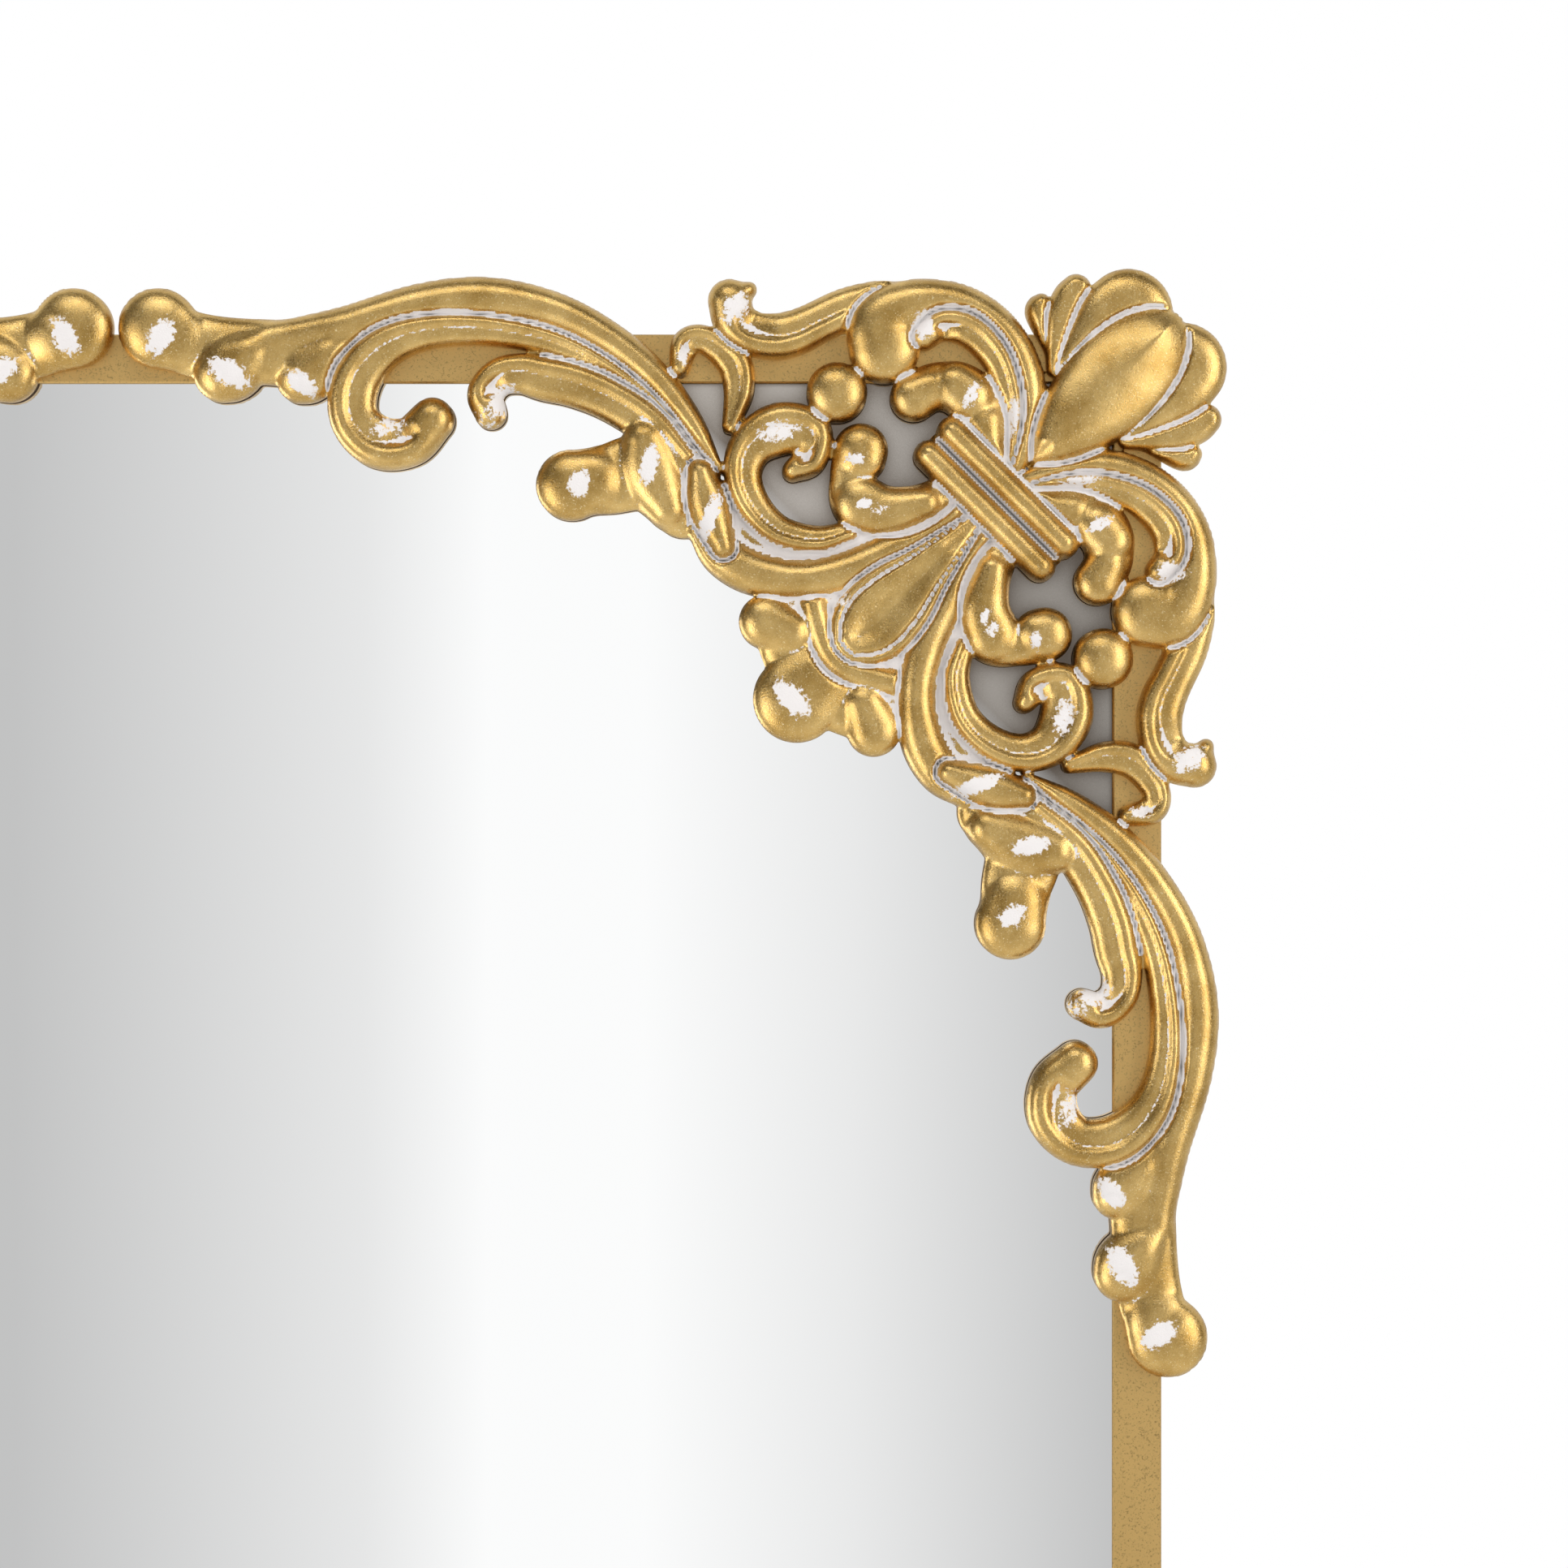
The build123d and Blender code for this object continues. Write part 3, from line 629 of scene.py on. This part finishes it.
def new_material(name):
    """A material with an empty Principled shader, and its tree, shader and coordinates."""
    material = bpy.data.materials.new(name)
    material.use_nodes = True
    tree = material.node_tree
    tree.nodes.clear()
    shader = tree.nodes.new("ShaderNodeBsdfPrincipled")
    output = tree.nodes.new("ShaderNodeOutputMaterial")
    tree.links.new(shader.outputs["BSDF"], output.inputs["Surface"])
    place = tree.nodes.new("ShaderNodeTexCoord").outputs["Object"]
    return material, tree, shader, place


def grained(tree, place, grain, cloud):
    """The outputs of the grain group at these scales."""
    node = add_node(tree, "ShaderNodeGroup", node_tree=shared("Fine_Grain", grain_group))
    tree.links.new(place, node.inputs["Vector"])
    node.inputs["Grain"].default_value = grain
    node.inputs["Cloud"].default_value = cloud
    return node.outputs


def ragged(tree, place, strength, flake):
    """A torn mask from a strength."""
    node = add_node(tree, "ShaderNodeGroup", node_tree=shared("Ragged_Mask", ragged_group))
    tree.links.new(place, node.inputs["Vector"])
    tree.links.new(strength, node.inputs["Strength"])
    node.inputs["Flake"].default_value = flake
    return node.outputs["Mask"]


def mixed(tree, factor, first, second):
    """A colour between two, each given as a colour or a socket."""
    node = add_node(tree, "ShaderNodeMix", data_type="RGBA")
    tree.links.new(factor, node.inputs[0])
    for socket, value in ((node.inputs[6], first), (node.inputs[7], second)):
        if isinstance(value, bpy.types.NodeSocket):
            tree.links.new(value, socket)
        else:
            socket.default_value = (*value, 1)
    return node.outputs[2]


def ranged(tree, value, low, high, to_low=0.0, to_high=1.0):
    """A value moved from one range to another."""
    return add_node(tree, "ShaderNodeMapRange", {
        "Value": value, "From Min": low, "From Max": high, "To Min": to_low, "To Max": to_high,
    }).outputs["Result"]


def reckon(tree, operation, first, second=0.5):
    """One step of arithmetic."""
    return add_node(tree, "ShaderNodeMath", {0: first, 1: second}, operation=operation).outputs[0]


def bump(tree, shader, height, strength, distance):
    """Fine relief in the shader's normal."""
    node = add_node(tree, "ShaderNodeBump", {
        "Height": height, "Strength": strength, "Distance": distance,
    })
    tree.links.new(node.outputs["Normal"], shader.inputs["Normal"])


def finish_node(name, material):
    """Gives a CAD node its material."""
    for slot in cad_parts[name].material_slots:
        slot.material = material


def gilded_material(settings):
    """Gold leaf over chalk primer: primer in the grooves and in rubbed places, raw resin behind,
    painted shade in the deepest grooves and painted glints on the gold.
    """
    material, tree, shader, place = new_material("gilded_casting")
    grain = grained(tree, place, 1500.0, 55.0)
    crevice = add_node(tree, "ShaderNodeAttribute", attribute_name="crevice").outputs["Fac"]
    rubbed = add_node(tree, "ShaderNodeAttribute", attribute_name="rubbed").outputs["Fac"]
    groove = ragged(tree, place, ranged(tree, crevice, 0.15, 0.75), 700.0)
    patch = ragged(tree, place, rubbed, 520.0)
    primer = reckon(tree, "MAXIMUM", groove, patch)
    gold = mixed(tree, grain["Tone"], tuple(settings.deep_gold), tuple(settings.gold))
    # Painted glints: pale bright specks in the gold leaf
    gold = mixed(tree, grain["Painted_Glint_Mask"], gold, PAINTED_GLINT_COLOUR)
    # Painted shade: the primer turns grey where the grooves are deepest
    deep = ranged(tree, crevice, 2.0, 4.2)
    chalk = mixed(tree, deep, tuple(settings.primer), PAINTED_GROOVE_SHADE)
    colour = mixed(tree, primer, gold, chalk)
    facing = add_node(tree, "ShaderNodeSeparateXYZ", {
        0: tree.nodes.new("ShaderNodeNewGeometry").outputs["Normal"],
    })
    behind = ranged(tree, facing.outputs["Y"], 0.85, 0.95)
    colour = mixed(tree, behind, colour, RAW_BACK)
    tree.links.new(colour, shader.inputs["Base Color"])
    bare = reckon(tree, "MAXIMUM", primer, behind)
    tree.links.new(ranged(tree, bare, 0, 1, 1, 0), shader.inputs["Metallic"])
    satin = ranged(tree, grain["Height"], 0.3, 0.7, 0.24, 0.38)
    dull = ranged(tree, bare, 0, 1, 0, 0.45)
    tree.links.new(reckon(tree, "ADD", satin, dull), shader.inputs["Roughness"])
    bump(tree, shader, grain["Height"], 0.35, 0.00035)
    return material


def lacquer_material(settings):
    """Gold metallic lacquer with fine dark specks."""
    material, tree, shader, place = new_material("gold_lacquer")
    grain = grained(tree, place, 1300.0, 12.0)
    duller = tuple(c * 0.93 for c in settings.lacquer)
    colour = mixed(tree, grain["Tone"], duller, tuple(settings.lacquer))
    specks = ranged(tree, grain["Height"], 0.30, 0.46, 1, 0)
    colour = mixed(tree, specks, colour, tuple(c * 0.55 for c in settings.lacquer))
    tree.links.new(colour, shader.inputs["Base Color"])
    shader.inputs["Metallic"].default_value = 1.0
    tree.links.new(ranged(tree, grain["Height"], 0.3, 0.7, 0.36, 0.5), shader.inputs["Roughness"])
    bump(tree, shader, grain["Height"], 0.25, 0.0003)
    return material


def mirror_material(settings):
    """Silvered float glass: greenish edges, grey paint behind, and painted shade of the casting on
    its front behind the corner openings.
    """
    material, tree, shader, place = new_material("silvered_glass")
    smudge = grained(tree, place, 300.0, 7.0)
    facing = add_node(tree, "ShaderNodeSeparateXYZ", {
        0: tree.nodes.new("ShaderNodeNewGeometry").outputs["Normal"],
    })
    front = ranged(tree, facing.outputs["Y"], -0.95, -0.9, 1, 0)
    behind = ranged(tree, facing.outputs["Y"], 0.9, 0.95)
    edge = mixed(tree, smudge["Tone"], *GLASS_EDGE)
    # Painted shade: within the corner openings the glass turns dark brown, darkest where ambient
    # occlusion finds the casting close. This stands in for the casting's shade and its dark back
    # given back by the glass.
    at = add_node(tree, "ShaderNodeSeparateXYZ", {0: place}).outputs
    above = reckon(tree, "ABSOLUTE", reckon(tree, "SUBTRACT", at["Z"], MIDDLE * MM))
    from_middle = reckon(tree, "ADD", reckon(tree, "ABSOLUTE", at["X"]), above)
    from_corner = reckon(tree, "SUBTRACT", (HALF_WIDTH + HALF_HEIGHT) * MM, from_middle)
    painted_shade_area = ranged(tree, from_corner, *OPENINGS_END, 1, 0)
    open_sky = add_node(tree, "ShaderNodeAmbientOcclusion", {"Distance": 0.045}, samples=8)
    painted_shade_openness = ranged(tree, open_sky.outputs["AO"], 0.25, 0.75)
    painted_shade = mixed(tree, painted_shade_openness, *PAINTED_SHADE_ON_GLASS)
    silver = mixed(tree, painted_shade_area, tuple(settings.silver), painted_shade)
    colour = mixed(tree, front, edge, silver)
    colour = mixed(tree, behind, colour, GLASS_PAINT)
    tree.links.new(colour, shader.inputs["Base Color"])
    tree.links.new(front, shader.inputs["Metallic"])
    film = ranged(tree, smudge["Tone"], 0, 1, 0.0, 0.012)
    rough = reckon(tree, "ADD", film, ranged(tree, front, 0, 1, 0.3, 0))
    tree.links.new(rough, shader.inputs["Roughness"])
    return material


def board_material(settings):
    """Fibreboard: short pale and dark fibres on brown."""
    material, tree, shader, place = new_material("fibreboard")
    stretch = add_node(tree, "ShaderNodeMapping", {"Vector": place, "Scale": (1, 1, 0.25)})
    fibre = add_node(tree, "ShaderNodeTexNoise", {
        "Vector": stretch.outputs[0], "Scale": 900.0, "Detail": 5.0, "Roughness": 0.65,
    }).outputs["Fac"]
    grain = grained(tree, place, 500.0, 6.0)
    duller = tuple(c * 0.82 for c in settings.board)
    brown = mixed(tree, grain["Tone"], duller, tuple(settings.board))
    pale = ranged(tree, fibre, 0.55, 0.72)
    colour = mixed(tree, pale, brown, tuple(min(1, c * 1.7) for c in settings.board))
    dark = ranged(tree, fibre, 0.32, 0.42, 1, 0)
    colour = mixed(tree, dark, colour, tuple(c * 0.5 for c in settings.board))
    tree.links.new(colour, shader.inputs["Base Color"])
    tree.links.new(ranged(tree, fibre, 0.3, 0.7, 0.62, 0.8), shader.inputs["Roughness"])
    bump(tree, shader, fibre, 0.4, 0.0003)
    return material


def plain_finish(name, light, dark, metallic, roughness, scales):
    """Metal, foam or rubber: a roughness range, and the scales of its grain and clouds."""
    material, tree, shader, place = new_material(name)
    grain = grained(tree, place, *scales)
    colour = mixed(tree, grain["Tone"], dark, light)
    tree.links.new(colour, shader.inputs["Base Color"])
    shader.inputs["Metallic"].default_value = metallic
    tree.links.new(ranged(tree, grain["Height"], 0.3, 0.7, *roughness), shader.inputs["Roughness"])
    bump(tree, shader, grain["Height"], 0.2, 0.0002)
    return material


# Operators

class MIRROR_OT_corner_castings(bpy.types.Operator):
    """Carve the gilded casting once and set it on the four corners"""

    bl_idname = "mirror.corner_castings"
    bl_label = "Corner castings"

    def execute(self, context):
        settings = context.scene.mirror_carving
        grid = settings.grid / MM * 1
        carved = finish_casting(grid)
        gilding = gilded_material(settings)
        for node, (right, up) in CORNERS.items():
            casting = corner_casting(carved, node.replace("ornament", "gilded_corner"), right, up)
            casting.data.materials.append(gilding)
            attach(casting, "mirror_body")
            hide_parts(node)
        carved.free()
        return {"FINISHED"}


class MIRROR_OT_frame_sides(bpy.types.Operator):
    """Lacquer the two rails and the two stiles"""

    bl_idname = "mirror.frame_sides"
    bl_label = "Frame sides"

    def execute(self, context):
        lacquer = lacquer_material(context.scene.mirror_frame)
        for name in ("top_rail", "bottom_rail", "left_stile", "right_stile"):
            finish_node(name, lacquer)
        return {"FINISHED"}


class MIRROR_OT_glass_packet(bpy.types.Operator):
    """Silver the glass and finish the tape and the board behind it"""

    bl_idname = "mirror.glass_packet"
    bl_label = "Glass, tape and board"

    def execute(self, context):
        settings = context.scene.mirror_frame
        finish_node("mirror_glass", mirror_material(settings))
        finish_node("backing_board", board_material(settings))
        tape = plain_finish(
            "foam_tape", (0.78, 0.78, 0.76), (0.66, 0.66, 0.64), 0.0, (0.7, 0.9), (1800.0, 90.0)
        )
        finish_node("glass_tape", tape)
        return {"FINISHED"}


class MIRROR_OT_fixings(bpy.types.Operator):
    """Finish the spring clips, corner keys and casting screws"""

    bl_idname = "mirror.fixings"
    bl_label = "Clips, keys and screws"

    def execute(self, context):
        steel = plain_finish(
            "spring_steel", (0.16, 0.19, 0.25), (0.10, 0.12, 0.17), 1.0, (0.25, 0.45), (700.0, 60.0)
        )
        finish_node("spring_clips", steel)
        keys = plain_finish(
            "key_metal", (0.62, 0.62, 0.63), (0.45, 0.45, 0.46), 1.0, (0.35, 0.55), (500.0, 50.0)
        )
        for corner in ("top_left", "top_right", "bottom_left", "bottom_right"):
            finish_node(f"corner_key_{corner}", keys)
        zinc = plain_finish(
            "screw_zinc", (0.70, 0.69, 0.64), (0.52, 0.51, 0.47), 1.0, (0.25, 0.45), (900.0, 160.0)
        )
        finish_node("ornament_screws", zinc)
        return {"FINISHED"}


class MIRROR_OT_hangers(bpy.types.Operator):
    """Finish the hanger straps, their screws and the two D-rings"""

    bl_idname = "mirror.hangers"
    bl_label = "Straps and D-rings"

    def execute(self, context):
        strap = plain_finish(
            "strap_nickel", (0.72, 0.71, 0.68), (0.55, 0.54, 0.51), 1.0, (0.2, 0.38), (800.0, 110.0)
        )
        wire = plain_finish(
            "ring_nickel", (0.78, 0.77, 0.74), (0.62, 0.61, 0.58), 1.0, (0.14, 0.28), (900.0, 140.0)
        )
        screw = plain_finish(
            "strap_screw_nickel", (0.66, 0.65, 0.62), (0.48, 0.47, 0.45), 1.0, (0.25, 0.4),
            (900.0, 150.0)
        )
        for side in ("left", "right"):
            finish_node(f"hanger_strap_{side}", strap)
            finish_node(f"d_ring_{side}", wire)
        finish_node("strap_screws", screw)
        return {"FINISHED"}


class MIRROR_OT_wall_pads(bpy.types.Operator):
    """Finish the four rubber pads"""

    bl_idname = "mirror.wall_pads"
    bl_label = "Wall pads"

    def execute(self, context):
        rubber = plain_finish(
            "pad_rubber", (0.045, 0.044, 0.042), (0.025, 0.024, 0.023), 0.0, (0.6, 0.8),
            (1500.0, 80.0)
        )
        finish_node("wall_pads", rubber)
        return {"FINISHED"}


def area_light(name, place, target, width, height, power, colour):
    """A softbox at a place, turned to a target, that the camera doesn't see."""
    lamp = bpy.data.lights.new(name, "AREA")
    lamp.shape = "RECTANGLE"
    lamp.size, lamp.size_y = width, height
    lamp.energy = power
    lamp.color = colour
    box = bpy.data.objects.new(name, lamp)
    box.location = place
    box.rotation_euler = (Vector(target) - Vector(place)).to_track_quat("-Z", "Y").to_euler()
    box.visible_camera = False
    bpy.context.scene.collection.objects.link(box)


def studio_world():
    """White behind, and a grey, white and grey sweep in front for the glass to give back."""
    world = bpy.data.worlds.new("studio")
    world.use_nodes = True
    tree = world.node_tree
    tree.nodes.clear()
    output = tree.nodes.new("ShaderNodeOutputWorld")
    rays = tree.nodes.new("ShaderNodeLightPath").outputs
    way = add_node(tree, "ShaderNodeSeparateXYZ", {
        0: tree.nodes.new("ShaderNodeTexCoord").outputs["Generated"],
    }).outputs
    ahead = reckon(tree, "MAXIMUM", reckon(tree, "ABSOLUTE", way["Y"]), 0.02)
    slant = reckon(tree, "DIVIDE", way["X"], ahead)
    sweep = tree.nodes.new("ShaderNodeValToRGB")
    tree.links.new(ranged(tree, slant, *SWEEP_SLANTS), sweep.inputs["Fac"])
    stops = sweep.color_ramp.elements
    while len(stops) < len(GLASS_SWEEP):
        stops.new(0.5)
    for stop, (place, grey) in zip(stops, GLASS_SWEEP):
        stop.position = place
        stop.color = (grey, grey, grey, 1)
    aside = ranged(tree, reckon(tree, "ABSOLUTE", slant), 0.28, 0.6)
    above = ranged(tree, reckon(tree, "ABSOLUTE", way["Z"]), 0.25, 0.55)
    away = reckon(tree, "MAXIMUM", aside, above)
    ahead_seen = mixed(tree, away, sweep.outputs["Color"], DARK_ROOM)
    front = ranged(tree, way["Y"], -0.1, 0.05, 1, 0)
    seen = mixed(tree, front, WALL_BEHIND, ahead_seen)
    plain = mixed(tree, rays["Is Glossy Ray"], EVEN_LIGHT, seen)
    direct = reckon(tree, "MAXIMUM", rays["Is Camera Ray"], rays["Is Transmission Ray"])
    colour = mixed(tree, direct, plain, WHITE)
    surface = add_node(tree, "ShaderNodeBackground", {"Color": colour, "Strength": 1.0})
    tree.links.new(surface.outputs[0], output.inputs["Surface"])
    return world


def pale_floor():
    """A wide pale floor that fades to white away from the mirror."""
    plane = bmesh.new()
    bmesh.ops.create_grid(plane, x_segments=2, y_segments=2, size=6)
    mesh = bpy.data.meshes.new("studio_floor")
    plane.to_mesh(mesh)
    plane.free()
    floor = bpy.data.objects.new("studio_floor", mesh)
    bpy.context.scene.collection.objects.link(floor)
    material, tree, shader, place = new_material("floor_paper")
    grain = grained(tree, place, 300.0, 1.5)
    colour = mixed(tree, grain["Tone"], *FLOOR_PAPER)
    tree.links.new(colour, shader.inputs["Base Color"])
    shader.inputs["Roughness"].default_value = 0.8
    away = add_node(tree, "ShaderNodeVectorMath", {0: place}, operation="LENGTH").outputs["Value"]
    seen = tree.nodes.new("ShaderNodeLightPath").outputs["Is Camera Ray"]
    fade = reckon(tree, "MULTIPLY", ranged(tree, away, 0.7, 2.6), seen)
    white = add_node(tree, "ShaderNodeEmission", {"Color": (*WHITE, 1), "Strength": 1.0})
    blend = add_node(tree, "ShaderNodeMixShader", {
        0: fade, 1: shader.outputs[0], 2: white.outputs[0],
    })
    tree.links.new(blend.outputs[0], tree.nodes["Material Output"].inputs["Surface"])
    mesh.materials.append(material)


class MIRROR_OT_studio(bpy.types.Operator):
    """Set up the floor, soft lights, surroundings and camera"""

    bl_idname = "mirror.studio"
    bl_label = "Studio"

    def execute(self, context):
        settings = context.scene.mirror_studio
        scene = context.scene
        pale_floor()
        scene.world = studio_world()
        view_x = (HALF_WIDTH - (PHOTO_CORNER[0] - PHOTO_SIZE / 2) * PHOTO_SCALE) * MM
        view_z = (FRAME_TOP - (PHOTO_SIZE / 2 - PHOTO_CORNER[1]) * PHOTO_SCALE) * MM
        middle = (view_x, FRONT * MM, view_z)
        for name, (offset, width, height, share, colour) in SOFTBOXES.items():
            place = (view_x + offset[0], offset[1], view_z + offset[2])
            area_light(name, place, middle, width, height, settings.key_power * share, colour)
        lens = bpy.data.cameras.new("photo_camera")
        lens.sensor_width = SENSOR
        lens.lens = SENSOR * settings.distance / settings.view_width
        lens.clip_start = 0.05
        lens.clip_end = 50
        camera = bpy.data.objects.new("photo_camera", lens)
        camera.location = (view_x, FRONT * MM - settings.distance, view_z)
        camera.rotation_euler = (math.radians(90), 0, 0)
        scene.collection.objects.link(camera)
        scene.camera = camera
        scene.view_settings.view_transform = "Standard"
        return {"FINISHED"}


STEPS = (
    MIRROR_OT_corner_castings, MIRROR_OT_frame_sides, MIRROR_OT_glass_packet,
    MIRROR_OT_fixings, MIRROR_OT_hangers, MIRROR_OT_wall_pads, MIRROR_OT_studio,
)


class MIRROR_PT_panel(bpy.types.Panel):
    """Lists the pieces of the mirror"""

    bl_idname = "MIRROR_PT_panel"
    bl_label = "Floor mirror"
    bl_space_type = "VIEW_3D"
    bl_region_type = "UI"
    bl_category = "Mirror"

    def draw(self, context):
        for step in STEPS:
            self.layout.operator(step.bl_idname)


SETTINGS = {
    "mirror_carving": CarvingSettings,
    "mirror_frame": FrameSettings,
    "mirror_studio": StudioSettings,
}


def register():
    for kind in (*SETTINGS.values(), *STEPS, MIRROR_PT_panel):
        bpy.utils.register_class(kind)
    for name, kind in SETTINGS.items():
        setattr(bpy.types.Scene, name, PointerProperty(type=kind))


def unregister():
    for name in SETTINGS:
        delattr(bpy.types.Scene, name)
    for kind in reversed((*SETTINGS.values(), *STEPS, MIRROR_PT_panel)):
        bpy.utils.unregister_class(kind)


def main():
    register()
    for step in STEPS:
        family, name = step.bl_idname.split(".")
        getattr(getattr(bpy.ops, family), name)()


if __name__ == "__main__":
    main()
